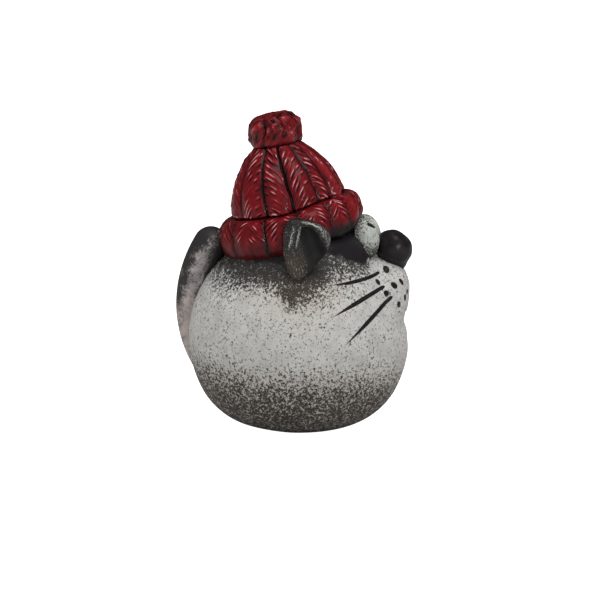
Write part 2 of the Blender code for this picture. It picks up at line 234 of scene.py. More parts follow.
def makeEngobe(name, clay):
    # the charcoal's cover of a place is the noise of the grains, livelier in soot, plus soot, clouds, pepper
    # dots and the thick glossy glaze
    material, add, shader, place = newMaterial(name)
    soot, rust, gloss = [add("Attribute", out="Fac", attribute_name=layer)
                         for layer in ("soot", "rust", "gloss")]
    noises = (("grain", 2.0, 0.7), ("speck", 2.0, 0.6), ("mottle", 3.0, 0.6))
    grain, speck, mottle = [add("TexNoise", {"Vector": place, "Scale": 1 / (clay[size] * mm),
                                             "Detail": detail, "Roughness": roughness})
                            for size, detail, roughness in noises]
    pepper = add("TexVoronoi", {"Vector": place, "Scale": 1 / (clay["pepper"] * mm)})
    dots = add("MapRange", {"Value": pepper, "From Min": 0.16, "From Max": 0.08})
    sand = add("Math", {0: grain, 1: speck})
    sand = add("Math", {0: sand, 1: 3.4, 2: -3.4}, operation="MULTIPLY_ADD")
    clouds = add("Math", {0: mottle, 1: 0.6, 2: -0.33}, operation="MULTIPLY_ADD")
    lively = add("Math", {0: soot, 1: 0.15, 2: 1.0}, operation="MULTIPLY_ADD")
    cover = add("Math", {0: sand, 1: lively, 2: soot}, operation="MULTIPLY_ADD")
    cover = add("Math", {0: cover, 1: clouds})
    cover = add("Math", {0: dots, 1: 0.35, 2: cover}, operation="MULTIPLY_ADD")
    thick = add("MapRange", {"Value": gloss, "From Min": 0.4, "To Max": 1.5})
    cover = add("Math", {0: cover, 1: thick})
    mask = add("MapRange", {"Value": cover, "From Min": clay["from"], "From Max": clay["to"]})
    whites = add("ValToRGB", {"Fac": mottle}, [(0.35, clay["dull"]), (0.6, clay["white"])])
    toned = add("Mix", {"Factor": rust, 6: whites, 7: linear(clay["blush"])}, out=2, data_type="RGBA")
    darks = add("Mix", {"Factor": rust, 6: linear(clay["charcoal"]), 7: linear(clay["brown"])}, out=2,
                data_type="RGBA")
    colour = add("Mix", {"Factor": mask, 6: toned, 7: darks}, out=2, data_type="RGBA")
    wet = add("MapRange", {"Value": gloss, "To Max": 0.9})
    shade = add("Mix", {"Factor": wet, 6: colour, 7: linear(clay["wet"])}, out=2, data_type="RGBA")
    rough = add("MapRange", {"Value": gloss, "To Min": 0.6, "To Max": 0.25})
    relief = add("Bump", {"Height": sand, "Strength": 0.3, "Distance": 0.15 * mm})
    plug(shader, {"Base Color": shade, "Roughness": rough, "Normal": relief, "Specular IOR Level": 0.3})
    return material


# Red glaze: a transparent glossy glaze over carved clay. It pools dark in the cuts, where black oxide was
# rubbed in, and runs thin and pinkish over the crests. Its palest stops also serve as painted highlights, and
# darker ones as painted shade near grooves and creases.
redGlaze = {"stops": [(0.0, "#0a0809"), (0.2, "#22070a"), (0.42, "#4f080e"), (0.66, "#71070f"),
                      (0.84, "#8b1b25"), (1.0, "#c69094")],
            "rough": 0.5, "coat": 0.35, "coatRough": 0.16, "streak": 2.6}


def makeRedGlaze():
    material, add, shader, place = newMaterial("redGlaze")
    carve = add("Attribute", out="Fac", attribute_name="carve")
    streak = add("TexNoise", {"Vector": place, "Scale": 1 / (redGlaze["streak"] * mm), "Detail": 4.0,
                              "Roughness": 0.65})
    shift = add("Math", {0: streak, 1: 0.5, 2: -0.25}, operation="MULTIPLY_ADD")
    depth = add("Math", {0: carve, 1: shift})
    colour = add("ValToRGB", {"Fac": depth}, redGlaze["stops"])
    relief = add("Bump", {"Height": streak, "Strength": 0.25, "Distance": 0.2 * mm})
    plug(shader, {"Base Color": colour, "Normal": relief, "Roughness": redGlaze["rough"],
                  "Specular IOR Level": 0.1, "Coat Weight": redGlaze["coat"],
                  "Coat Roughness": redGlaze["coatRough"]})
    return material


# Black glaze: brushed on thick, so it is smooth with a soft gloss and faint brush marks
blackGlaze = {"black": "#1c181a", "thin": "#2a2628", "rough": 0.3, "brush": 4.0}


def makeBlackGlaze():
    material, add, shader, place = newMaterial("blackGlaze")
    brush = add("TexNoise", {"Vector": place, "Scale": 1 / (blackGlaze["brush"] * mm), "Detail": 4.0,
                             "Roughness": 0.6})
    colour = add("ValToRGB", {"Fac": brush}, [(0.4, blackGlaze["black"]), (0.7, blackGlaze["thin"])])
    relief = add("Bump", {"Height": brush, "Strength": 0.2, "Distance": 0.25 * mm})
    plug(shader, {"Base Color": colour, "Normal": relief, "Roughness": blackGlaze["rough"],
                  "Specular IOR Level": 0.2})
    return material


# Charcoal glaze: dark and dry in the cup of the ear, satin outside it, and rubbed off to light clay on the
# rim
earGlaze = {"dark": "#242323", "rubbed": "#a3a19a", "brown": "#3a2f27", "grain": 0.8}


def makeEarGlaze():
    material, add, shader, place = newMaterial("charcoalGlaze")
    rub, rust = [add("Attribute", out="Fac", attribute_name=layer) for layer in ("rub", "rust")]
    grain = add("TexNoise", {"Vector": place, "Scale": 1 / (earGlaze["grain"] * mm), "Detail": 3.0,
                             "Roughness": 0.7})
    spread = add("Math", {0: grain, 1: 3.8, 2: -1.9}, operation="MULTIPLY_ADD")
    cover = add("Math", {0: spread, 1: rub})
    mask = add("MapRange", {"Value": cover, "From Min": 0.45, "From Max": 1.1})
    darks = add("Mix", {"Factor": rust, 6: linear(earGlaze["dark"]), 7: linear(earGlaze["brown"])},
                out=2, data_type="RGBA")
    colour = add("Mix", {"Factor": mask, 6: darks, 7: linear(earGlaze["rubbed"])}, out=2, data_type="RGBA")
    relief = add("Bump", {"Height": grain, "Strength": 0.4, "Distance": 0.2 * mm})
    rough = add("MapRange", {"Value": rub, "From Min": -0.25, "From Max": 0.1, "To Min": 0.8, "To Max": 0.42})
    plug(shader, {"Base Color": colour, "Normal": relief, "Roughness": rough, "Specular IOR Level": 0.35})
    return material


# Grey wash: thin white slip wiped along a charcoal roll of clay. It shows in cloudy streaks of grey, pinkish
# in patches and low down, and leaves the edges dark, partly as painted shade.
tailWash = {"dark": "#2d2a2a", "grey": "#8b8685", "pink": "#aea09a", "cloud": 5.0, "grain": 1.0}


def makeTailWash():
    material, add, shader, place = newMaterial("greyWash")
    wipe, low = [add("Attribute", out="Fac", attribute_name=layer) for layer in ("wipe", "low")]
    cloud, grain = [add("TexNoise", {"Vector": place, "Scale": 1 / (tailWash[size] * mm),
                                     "Detail": detail, "Roughness": roughness})
                    for size, detail, roughness in (("cloud", 5.0, 0.7), ("grain", 2.0, 0.6))]
    cover = add("Math", {0: cloud, 1: 2.6, 2: -1.3}, operation="MULTIPLY_ADD")
    cover = add("Math", {0: cover, 1: wipe})
    fine = add("Math", {0: grain, 1: 2.0, 2: -1.0}, operation="MULTIPLY_ADD")
    cover = add("Math", {0: cover, 1: fine})
    mask = add("MapRange", {"Value": cover})
    patchy = add("Math", {0: cloud, 1: 5.0, 2: -2.5}, operation="MULTIPLY_ADD")
    pinker = add("Math", {0: low, 1: 0.7, 2: patchy}, operation="MULTIPLY_ADD")
    lights = add("Mix", {"Factor": pinker, 6: linear(tailWash["grey"]), 7: linear(tailWash["pink"])},
                 out=2, data_type="RGBA")
    colour = add("Mix", {"Factor": mask, 6: linear(tailWash["dark"]), 7: lights}, out=2, data_type="RGBA")
    relief = add("Bump", {"Height": grain, "Strength": 0.3, "Distance": 0.15 * mm})
    plug(shader, {"Base Color": colour, "Normal": relief, "Roughness": 0.5})
    return material


sandyEngobe, speckledGlaze = makeEngobe("sandyEngobe", engobe), makeEngobe("speckledEyeGlaze", eyeGlaze)
redGlazed, blackGlazed = makeRedGlaze(), makeBlackGlaze()
charcoalGlazed, greyWashed = makeEarGlaze(), makeTailWash()
print("glazes mixed")

# Hat: its axis leans back; heights run from the line where the cuff meets the crown
hat = {"f": -5.31, "z": 68.04, "lean": 10.5}


def onHat(x, ahead, height):
    # the point that lies x across, this far ahead and this high in the hat's own leaning frame
    return leant(np.stack([x, ahead, height], -1), hat["lean"]) + [0, hat["f"], hat["z"]]


def inHat(points):
    # distance from the hat's axis, how much of it points ahead, and height above the crown's line
    local = leant(points - [0, hat["f"], hat["z"]], -hat["lean"])
    return np.hypot(local[..., 0], local[..., 1]), local[..., 1], local[..., 2]


# Charcoal on the ball. At each side angle, from ahead to behind: the elevation where it ends under the hat,
# how wide its soft edge is there, and how low the glossy band reaches, all in degrees. The foot's charcoal
# starts and ends at depths in mm under the middle, later ahead and sooner behind. The run is where glaze ran
# out of the ear: side, elevation, and half its size each way. Under the ear the charcoal is thinner.
smoke = {"sides": [0, 20, 30, 40, 50, 60, 70, 80, 90, 100, 115, 130, 150, 180],
         "edges": [48.5, 48, 43, 43.5, 43.5, 42, 36.5, 29.5, 26.5, 36, 36.5, 35.5, 38.5, 38],
         "widths": [8, 8, 14, 28, 42, 44, 38, 20, 16, 17, 19, 27, 34, 32],
         "bands": [48, 48, 48, 49, 52.5, 55, 55, 53, 51, 50, 50, 50, 51, 52],
         "footFrom": -2.5, "footTo": 28.0, "frontLater": 4.5, "rearSooner": 3.0,
         "run": (76.0, 47.5, 9.0, 6.5), "most": 1.5, "underEar": 0.1}


def runAt(elevation, s):
    # the patch of glaze that ran out of the ear, 1 in its middle
    side, up, wide, tall = smoke["run"]
    return bump(s, side, wide) * bump(elevation, up, tall)


def sootAt(points):
    # charcoal cover: above the hat's edge line, below the foot's line, and where the ear's glaze ran
    elevation, side = anglesOf(points)
    s = np.abs(side)
    edge = np.interp(s, smoke["sides"], smoke["edges"])
    half = np.interp(s, smoke["sides"], smoke["widths"]) / 2
    above = smooth(elevation, edge - half, edge + half)
    later = smoke["frontLater"] * smooth(-s, -60, -20) - smoke["rearSooner"] * smooth(s, 95, 140)
    below = smooth(-points[..., 2] - later, smoke["footFrom"], smoke["footTo"])
    thinner = smoke["underEar"] * bump(s, 84, 20) * smooth(-elevation, -46, -38)
    above = above * (smoke["most"] - thinner)
    return np.clip(above + below + runAt(elevation, s), 0, smoke["most"])


def rustAt(points):
    # brown tint: strongest under the ears and low on the ball
    elevation, side = anglesOf(points)
    underEar = bump(elevation, 32, 12) * bump(np.abs(side), 84, 24)
    return np.clip(underEar + 0.7 * smooth(-points[..., 2], 0, 20), 0, 1)


def glossAt(points):
    # wet-looking black glaze: a band under the hat, a soft edge below it behind the ear, and the ear's run
    elevation, side = anglesOf(points)
    s = np.abs(side)
    band = np.interp(s, smoke["sides"], smoke["bands"]) + 1.3 * waves(s / 5, 0 * s, 90)
    run = 0.55 * smooth(runAt(elevation, s), 0.25, 0.8)
    soft = 0.3 * smooth(elevation, band - 12, band - 2) * smooth(s, 70, 95)
    return np.maximum.reduce([smooth(elevation, band - 0.8, band + 0.8), soft, run])


def clayLayers(grid, paintedShade=0):
    # what the engobe reads at each point of the grid, with extra charcoal cover added as painted shade where
    # asked
    return {"soot": sootAt(grid) + paintedShade, "rust": rustAt(grid), "gloss": glossAt(grid)}


# Body: the ball with the dent of the mouth, the bridge behind the nose, a collar that rises to the hat, its
# flat foot and the hollow inside
mouth = {"elevation": 8.5, "height": 4.5, "depth": 1.9, "side": 24.0, "chin": 0.9, "heel": 3.5}
bridge = {"elevation": 50.0, "long": 6.5, "side": 12.0, "height": 3.3}
collar = {"start": 39.0, "end": 29.5, "front": 6.5, "side": 3.0, "back": 0.6}


def ballRelief(points):
    # how far the surface stands off the ball: a dent for the mouth, a shallow chin, the bridge of the nose,
    # the collar under the hat, and the wobble of the hand
    elevation, side = anglesOf(points)
    s = np.abs(side)
    dent = mouth["depth"] * bump(elevation, mouth["elevation"], mouth["height"])
    dent = dent * np.exp(-(s / mouth["side"]) ** 4)
    chin = mouth["chin"] * bump(elevation, 0.5, 5) * bump(s, 0, 20)
    saddle = bridge["height"] * bump(elevation, bridge["elevation"], bridge["long"])
    saddle = saddle * bump(s, 0, bridge["side"])
    out, forward, height = inHat(points)
    facing = forward / np.maximum(out, 1e-6)
    uneven = np.where(facing > 0, collar["front"] - collar["side"], collar["side"] - collar["back"])
    rise = collar["side"] + uneven * facing
    neck = rise * smooth(-out, -collar["start"], -collar["end"]) * smooth(height, -45, -40)
    wobble = 0.12 * np.sin(np.radians(3 * elevation + 2 * s)) + 0.08 * np.sin(np.radians(7 * s - 40))
    return wobble * smooth(elevation, -40, -20) - dent - chin + np.maximum(saddle, neck)


def makeBody():
    # a profile of (radius, height) turned about the vertical, its outer face moved by the relief; the foot's
    # rounding is drawn in behind
    radius, vent, wall = ball["radius"], ball["vent"], ball["wall"]
    inner, start = radius - wall, np.radians(ball["footStart"])
    rows, columns = ball["mesh"]
    outer = np.linspace(np.arcsin(ball["hatVent"] / radius), start, rows)
    curl = np.linspace(start, np.pi, 34)[1:]
    flat = np.array([[12, 0], [vent + 0.8, 0], [vent + 0.2, 0.2], [vent, 0.8], [vent, wall - 0.6],
                     [vent + 0.6, wall], [20, wall]])
    inside = np.linspace(np.arccos((wall - ballHeight) / inner), np.arcsin(ball["hatVent"] / inner), 20)
    profile = np.concatenate([
        np.stack([radius * np.sin(outer), radius * np.cos(outer)], -1),
        np.stack([ball["footRadius"] + footRounding * np.sin(curl),
                  footRounding - ballHeight + footRounding * np.cos(curl)], -1),
        flat + [0, -ballHeight],
        np.stack([inner * np.sin(inside), inner * np.cos(inside)], -1)])
    turn, out = fullTurn(columns), profile[:, :1]
    grid = np.stack([out * np.sin(turn), out * np.cos(turn), profile[:, 1:] + 0 * turn], -1)
    move = np.zeros(grid.shape[:2])
    move[:rows] = ballRelief(grid[:rows])
    grid = grid * (1 + move / np.linalg.norm(grid, axis=-1))[..., None]
    foot = slice(rows, rows + len(curl))
    tuck = mouth["heel"] * bump(np.degrees(curl), 168, 9)[:, None] * smooth(-np.cos(turn), 0, 0.9)
    around = grid[foot, :, :2]
    grid[foot, :, :2] = around * (1 - tuck / np.linalg.norm(around, axis=-1))[..., None]
    makePiece("catBody", grid, "body_shell", sandyEngobe, rowsClose=True, sharp=50,
              layers=clayLayers(grid))


# Muzzle: two pads that rise to the nose, crisp at the lip and melting into the cheeks
muzzle = {"bottom": 11.0, "top": 50.0, "middle": 0.12, "edge": 33.0, "under": 4.0, "paintedShade": 0.05,
          "mesh": (150, 110)}


def muzzleHeight(elevation, side):
    # height over the ball: a ramp from the lip to the nose, fading sideways and behind the nose, creased in
    # the middle
    s = np.abs(side)
    ramp = 1.0 + 0.48 * np.clip(elevation - 15, 0, 11) + 0.24 * np.clip(elevation - 26, 0, 10)
    ramp = ramp - 4.5 * smooth(-elevation, -15.6, -12.5)
    width = 27 - 8 * smooth(elevation, 27, 40)
    across = np.cos(np.radians(90 * np.clip((s - 5) / width, 0, 1))) ** 1.6
    behind = smooth(-elevation, -54, -30)
    crease = 0.8 * bump(s, 0, 1.5)
    return ramp * across * behind - crease - 0.3 * (1 - across * behind)


def makeMuzzle(name, node, sign):
    # sections at rising elevations: over the top from the middle to the cheek, and back underneath
    rows, columns = muzzle["mesh"]
    elevation = np.linspace(muzzle["bottom"], muzzle["top"], rows)[:, None]
    over = np.linspace(muzzle["middle"], muzzle["edge"], columns)[None, :]
    back = np.linspace(muzzle["edge"], muzzle["middle"], 24)[None, 1:-1]
    top = onBall(elevation, sign * over, ball["radius"] + muzzleHeight(elevation, over))
    under = onBall(elevation, sign * back, ball["radius"] - muzzle["under"])
    grid = np.concatenate([top, under], 1)
    # a little extra charcoal speck over the pads darkens them as painted shade
    makePiece(name, grid, node, sandyEngobe, sharp=50,
              layers=clayLayers(grid, muzzle["paintedShade"]))


# Nose: a ball with a blunt corner that points down at the lip, a flattened top and a fuller back. The aims
# are unit directions ahead and up.
nose = {"f": 47.6, "z": 45.4, "radius": 8.8, "half": 9.3, "mesh": (90, 140),
        "corner": 1.9, "cornerAim": (0.36, -0.93), "cornerWidth": 0.34,
        "flat": 1.3, "flatAim": (0.6, 0.8), "flatWidth": 0.5, "back": 1.0, "backAim": (-0.78, 0.63)}


def makeNose():
    # an egg moved out or in near three directions, with faint lumps
    cornerAim = np.array(nose["cornerAim"])
    way = eggGrid(*nose["mesh"])
    near = awayFrom(way, cornerAim / np.linalg.norm(cornerAim))
    out = nose["corner"] * bump(near, 0, nose["cornerWidth"])
    out = out - nose["flat"] * bump(awayFrom(way, nose["flatAim"]), 0, nose["flatWidth"])
    out = out + nose["back"] * bump(awayFrom(way, nose["backAim"]), 0, 0.5)
    grid = way * [nose["radius"], nose["radius"], nose["half"]] + way * out[..., None]
    lumps = 0.12 * np.sin(5 * way[..., 0] + 2) * np.sin(6 * way[..., 2] + 4 * way[..., 1])
    grid = grid + way * lumps[..., None] + [0, nose["f"], nose["z"]]
    makePiece("catNose", grid, "nose", blackGlazed)


# Eyes: upright eggs that lean back, each with an oval pupil painted on its upper front; grey specks gather
# behind, and gather low down and round the top as painted shade where the eye meets the ball and under the
# cuff
eye = {"x": 6.7, "f": 33.2, "z": 51.6, "semi": np.array([6.2, 7.0, 9.7]), "lean": 14.0, "mesh": (110, 150),
       "pupilAim": (0.46, 0.67, 0.56), "pupilLong": 2.6, "pupilWide": 1.05, "pupilMesh": (24, 60),
       "paint": 0.14, "heel": 0.4, "heelAim": (-0.8, -0.6), "speckles": 0.08}


def makeEye(name, node, sign):
    # an egg that swells at its heel, where it meets the ball
    way = eggGrid(*eye["mesh"])
    swell = 1 + eye["heel"] * bump(awayFrom(way, eye["heelAim"]), 0, 0.8)
    local = leant(way * eye["semi"] * swell[..., None], eye["lean"])
    ahead, high = local[..., 1], local[..., 2]
    # painted shade: grey specks low down, where the eye meets the ball, and round the top, under the cuff;
    # behind, they are the dark glaze
    low, rear, cap = smooth(-high, -1, 8), smooth(-ahead, -1, 4.5), smooth(high, 6.2, 9.2)
    soot = np.clip(eye["speckles"] + low + 0.75 * rear + 0.5 * cap, 0, 1)
    gloss = np.maximum(smooth(-ahead, 4.2, 5.2), smooth(-high, 7.8, 9))
    makePiece(name, local + [sign * eye["x"], eye["f"], eye["z"]], node, speckledGlaze,
              layers={"soot": soot, "rust": 0.3 * low, "gloss": gloss})


def makePupil(name, sign):
    # a thin lens on the eye's egg: an oval of directions about the pupil's aim, on the egg and a little proud
    # of it, its long way running from the upper back to the lower front
    aim = np.array(eye["pupilAim"]) * [sign, 1, 1]
    straight, sideways = aim / np.linalg.norm(aim), np.cross(aim, [0, 0, 1])
    first = sideways / np.linalg.norm(sideways)
    second = np.cross(first, straight)
    lens = eggGrid(*eye["pupilMesh"])
    longWay, wideWay = (second + sign * first) / np.sqrt(2), (second - sign * first) / np.sqrt(2)
    spread = lens[..., :1] * eye["pupilWide"] * wideWay + lens[..., 1:2] * eye["pupilLong"] * longWay
    way = straight + spread / eye["semi"]
    way = way / np.linalg.norm(way, axis=-1)[..., None]
    local = leant(way * eye["semi"], eye["lean"]) * (1 + eye["paint"] * lens[..., 2:] / eye["semi"][1])
    makePiece(name, local + [sign * eye["x"], eye["f"], eye["z"]], None, blackGlazed)


# Painted marks on the face, by side and elevation in degrees on the ball. A whisker runs from its first pair
# on the pad to its second on the cheek, with a bend in degrees and a width in mm. A dot has its place, width,
# height and lift in mm, and tilt in degrees.
whisker = {"runs": [(18.8, 39.8, 64.8, 37.4, -0.2, 2.7), (23.6, 32.0, 67.4, 20.3, 2.0, 3.0),
                    (22.2, 25.7, 61.4, 5.9, 2.7, 3.0)], "proud": 0.25, "mesh": (90, 12)}
dot = {"places": [(14.6, 38.9, 2.6, 4.8, 1.0, -40), (26.3, 35.3, 3.3, 3.7, 0.7, -5),
                  (18.5, 30.2, 3.1, 4.0, 0.4, 18), (12.7, 30.1, 2.2, 3.9, 0.4, 18),
                  (25.6, 28.3, 3.0, 3.4, 0.5, -25), (9.0, 24.6, 2.2, 2.4, 0.4, 18),
                  (11.9, 22.5, 2.4, 3.4, 0.4, 18), (18.5, 20.8, 3.1, 3.2, 0.4, 10)],
       "padRadius": ball["radius"] + 5, "mesh": (12, 28)}


def onFace(elevation, side, lift):
    # the point on the face's skin, pads included, raised by lift
    skin = np.maximum(ballRelief(onBall(elevation, side, ball["radius"])), muzzleHeight(elevation, side))
    return onBall(elevation, side, ball["radius"] + skin + lift)


def makeWhiskers(name, sign):
    # each whisker is a flattened tube, widest beyond its middle, that ends in a point
    shells = []
    rows, columns = whisker["mesh"]
    turn = fullTurn(columns)[None, :]
    share = np.linspace(0.003, 0.997, rows)[:, None]
    for fromSide, fromUp, toSide, toUp, bend, wide in whisker["runs"]:
        half = (wide / 2 * np.minimum(1, share / 0.04) ** 0.5 * (0.6 + 0.4 * smooth(share, 0.1, 0.55))
                * (1 - share ** 2.2) ** 0.9)
        half = half * (1 + 0.1 * np.sin(11 * share))
        across = np.degrees(half * np.cos(turn) / ball["radius"])
        side = fromSide + (toSide - fromSide) * share
        up = fromUp + (toUp - fromUp) * share + 4 * bend * share * (1 - share)
        slope = np.arctan2(toUp - fromUp + 4 * bend * (1 - 2 * share), toSide - fromSide)
        lift = whisker["proud"] * np.sin(turn) * half / half.max()
        shells.append(onFace(up + across * np.cos(slope), sign * (side - across * np.sin(slope)), lift))
    makePiece(name, np.stack(shells), None, blackGlazed)


def makeDots(name, sign):
    # each dot is a flat drop of black glaze
    shells = []
    lens = eggGrid(*dot["mesh"])
    for side, up, wide, tall, proud, lean in dot["places"]:
        tilt = np.radians(lean)
        a, b = lens[..., 0] * wide / 2, lens[..., 1] * tall / 2
        across, along = a * np.cos(tilt) + b * np.sin(tilt), b * np.cos(tilt) - a * np.sin(tilt)
        upAngle = up + np.degrees(along / dot["padRadius"])
        sideAngle = side + np.degrees(across / dot["padRadius"] / np.cos(np.radians(up)))
        shells.append(onFace(upAngle, sign * sideAngle, proud * lens[..., 2]))
    makePiece(name, np.stack(shells), None, blackGlazed)


makeBody()
makeMuzzle("catMuzzleRight", "muzzle_right", -1)
makeMuzzle("catMuzzleLeft", "muzzle_left", 1)
makeNose()
makeEye("catEyeRight", "eye_right", -1)
makeEye("catEyeLeft", "eye_left", 1)
for which, sign in (("Right", -1), ("Left", 1)):
    makePupil("catPupil" + which, sign)
    makeWhiskers("catWhiskers" + which, sign)
    makeDots("catDots" + which, sign)
print("body and face made")

# The ribs were carved by eye: groove angles from the cat's side at the crown's line, behind (-) and ahead
# (+), and how deep each groove is; the other side mirrors them, they turn back as they rise, and one broad
# smooth fold crosses crown and cuff in front; the crown's rows are those of its dome and of its neck
grooveAngles = [-102, -78, -50, -17, 11.3, 39, 60, 80, 100]
grooveDepths = np.array([0.3, 0.4, 0.22, 1.0, 1.0, 0.26, 0.1, 0.15, 0.3])
crown = {"radius": 28.8, "height": 28.8, "peak": 42.4, "taper": 1.7, "neck": 27.2, "rib": 1.7, "cut": 0.8,
         "pitch": 3.1, "reach": 2.8, "thick": 0.62, "dip": 3.0, "turn": 8.0, "fold": 68.0, "foldWide": 7.0,
         "front": 1.2, "tone": 0.58, "rows": (160, 8), "columns": 590}


def ribsAt(x, ahead, height, radius):
    # for each point: the number of its rib and of the nearer groove, how deep that groove is, how far across
    # the rib it lies (0 to 1), how far from the rib's middle and how wide the rib is in mm, its angle, and
    # the fold
    angle = np.degrees(np.arctan2(ahead, np.abs(x)))
    angle = angle + crown["turn"] * np.cos(np.radians(angle)) * np.maximum(height, 0) / crown["height"]
    count = np.interp(angle, grooveAngles, np.arange(len(grooveAngles)) - 4)
    number = np.floor(count)
    across = count - number
    widths = np.diff(grooveAngles)
    mmWide = np.radians(widths[np.clip(number.astype(int) + 4, 0, len(widths) - 1)]) * radius
    nearest = number + (across > 0.5)
    deep = grooveDepths[np.clip(nearest, -4, 4).astype(int) + 4]
    fold = bump(angle, crown["fold"], crown["foldWide"])
    return number, nearest, deep, across, (across - 0.5) * mmWide, mmWide, angle, fold


def lineDip(x, ahead):
    # the crown's line sags at the sides and the back
    angle = np.degrees(np.arctan2(ahead, np.abs(x)))
    return -crown["dip"] * (1 - smooth(angle, -5, 45))


def makeCrown():
    # a dome turned about the hat's axis, drawn in between the ribs and cut by grooves and a herringbone of
    # leaves
    turn = fullTurn(crown["columns"])[None, :]
    domeRows, neckRows = crown["rows"]
    dome = np.linspace(crown["height"], -1.5, domeRows)
    rise = np.concatenate([dome, np.linspace(-3, -24, neckRows)])[:, None]
    x, ahead = -np.cos(turn), np.sin(turn)
    height = rise + lineDip(x, ahead) * (1 - smooth(rise, 1, 16))
    radius = crown["radius"] * (1 - (np.maximum(height, 0) / crown["peak"]) ** crown["taper"])
    radius = np.where(rise > -2, radius, crown["neck"])
    number, nearest, deep, across, side, mmWide, angle, fold = ribsAt(x, ahead, height, radius)
    # grooves between the ribs
    wander = 0.4 * waves(height / 5, nearest, 1)
    edges = [across * mmWide + wander, (1 - across) * mmWide - wander]
    fromGroove = np.minimum(*edges)
    valley = crown["rib"] / crown["radius"] * radius * (1 - np.sin(np.pi * across) ** 0.7)
    strength = deep * (0.5 + 0.5 * smooth(waves(height / 7, nearest, 2), -0.7, 0.3))
    groove = bump(fromGroove, 0, 0.95 - 0.5 * deep) * strength
    # a herringbone of leaves, with two rows of shorter ones between
    way = np.where(number % 2 == 0, 1, -1)
    slanted = height - way * side * 0.9 + 0.06 * side ** 2 + 40
    cut, lip = leafCuts(slanted, side + 0.1 * mmWide, number, crown["pitch"],
                        np.minimum(crown["reach"], 0.3 * mmWide), crown["thick"])
    for shift, middle, weight in ((1.6, 0.27, 0.8), (0.7, -0.38, 0.7)):
        fewer = leafCuts(slanted + shift, side - middle * mmWide, number + 40 * middle, 1.3 * crown["pitch"],
                         np.minimum(1.8, 0.18 * mmWide), 0.85 * crown["thick"])
        cut, lip = np.maximum(cut, weight * fewer[0]), np.maximum(lip, weight * fewer[1])
    plain = (1 - smooth(-fromGroove, -1.4, -0.5)) * (1 - 0.85 * smooth(fold, 0.3, 0.8))
    cut, lip = cut * plain, lip * plain
    # how far the clay swells and sinks
    crease = bump(angle, crown["fold"] - 11, 2.2) + bump(angle, crown["fold"] + 10, 2.2)
    foot = bump(rise, 0, 0.6) * (1 - fold)
    bulge = 1.5 * fold * smooth(-rise, -27, -14) + 1.2 * fold * smooth(-rise, -8, -1)
    front = crown["front"] * smooth(ahead, 0.5, 0.95) * (1 + 0.6 * smooth(-rise, -8, 0))
    knead = 0.25 * waves(side / 3.5, height / 4, 4 + number)
    swell = (bulge - valley * (0.55 + 0.45 * deep) * (1 - 0.7 * fold) - crown["cut"] * groove - 0.3 * cut
             + 0.36 * lip - 0.5 * crease + knead)
    swell = smooth(rise, -1.0, 0.5) * (swell - front) - 0.9 * foot
    scale = 1 + (swell - 1.3 * smooth(rise, 22, crown["height"])) / radius
    grid = onHat(x * radius * scale, ahead * radius * scale, height)
    # how light the glaze is: dark in cuts and at the crown's line; painted shade near the grooves and in the
    # creases by the fold; pale on crests, partly thin glaze and partly painted highlight; painted highlights
    # along the fold's crest, two long groove edges and just above the crown's line
    # painted highlight: a pale line along two long groove edges, standing for gloss caught in the pooled
    # glaze
    edgeGlint = bump(edges[1], 1.2, 0.36) * smooth(waves(height / 4.5, number, 3), -0.3, 0.4)
    edgeGlint = edgeGlint * np.where((number == -1) | (number == -2), 1, 0.3) * (1 - fold)
    # pale lips on the leaves are thin glaze and partly painted highlight; the dark cuts are pooled glaze
    carve = crown["tone"] - 0.85 * groove - 0.4 * cut + 0.44 * lip
    # painted shade: darker towards each groove, on top of the glaze pooled in the valley
    carve = carve - (0.08 + 0.16 * deep) * smooth(-fromGroove, -3.0, -0.4) * (1 - 0.7 * fold)
    carve = carve + 0.42 * edgeGlint - 0.55 * foot
    # painted shade in the creases either side of the fold
    carve = carve + 0.1 * waves(side / 2.2, height / 5, 60 + number) - 0.25 * crease
    # painted highlight along the fold's crest, in patches
    foldGlintPatches = 0.4 + 0.6 * smooth(waves(height / 6, 0, 77), -0.6, 0.5)
    carve = carve + 0.1 * fold + 0.16 * bump(angle, crown["fold"] - 2, 3.0) * foldGlintPatches
    # painted highlight: a broken pale line just above the crown's line
    lineGlintPatches = smooth(waves(np.degrees(turn) / 9, 0 * rise, 81), -0.2, 0.5)
    carve = carve + 0.4 * bump(rise, 1.5, 0.45) * lineGlintPatches * (1 - fold)
    carve = np.where(rise > -0.6, carve, 0.05)
    makePiece("hatCrown", grid, "hat_crown", redGlazed, layers={"carve": carve})


cuff = {"bore": 26.0, "wall": 27.5, "bulge": 9.2, "backBulge": 0.9, "height": 21.2, "lean": 4.0, "rib": 1.6,
        "pitch": 3.3, "reach": 2.6, "thick": 0.7, "girth": 36.0, "sag": 1.8, "frontSag": 2.6, "tone": 0.6,
        "mesh": (130, 700)}


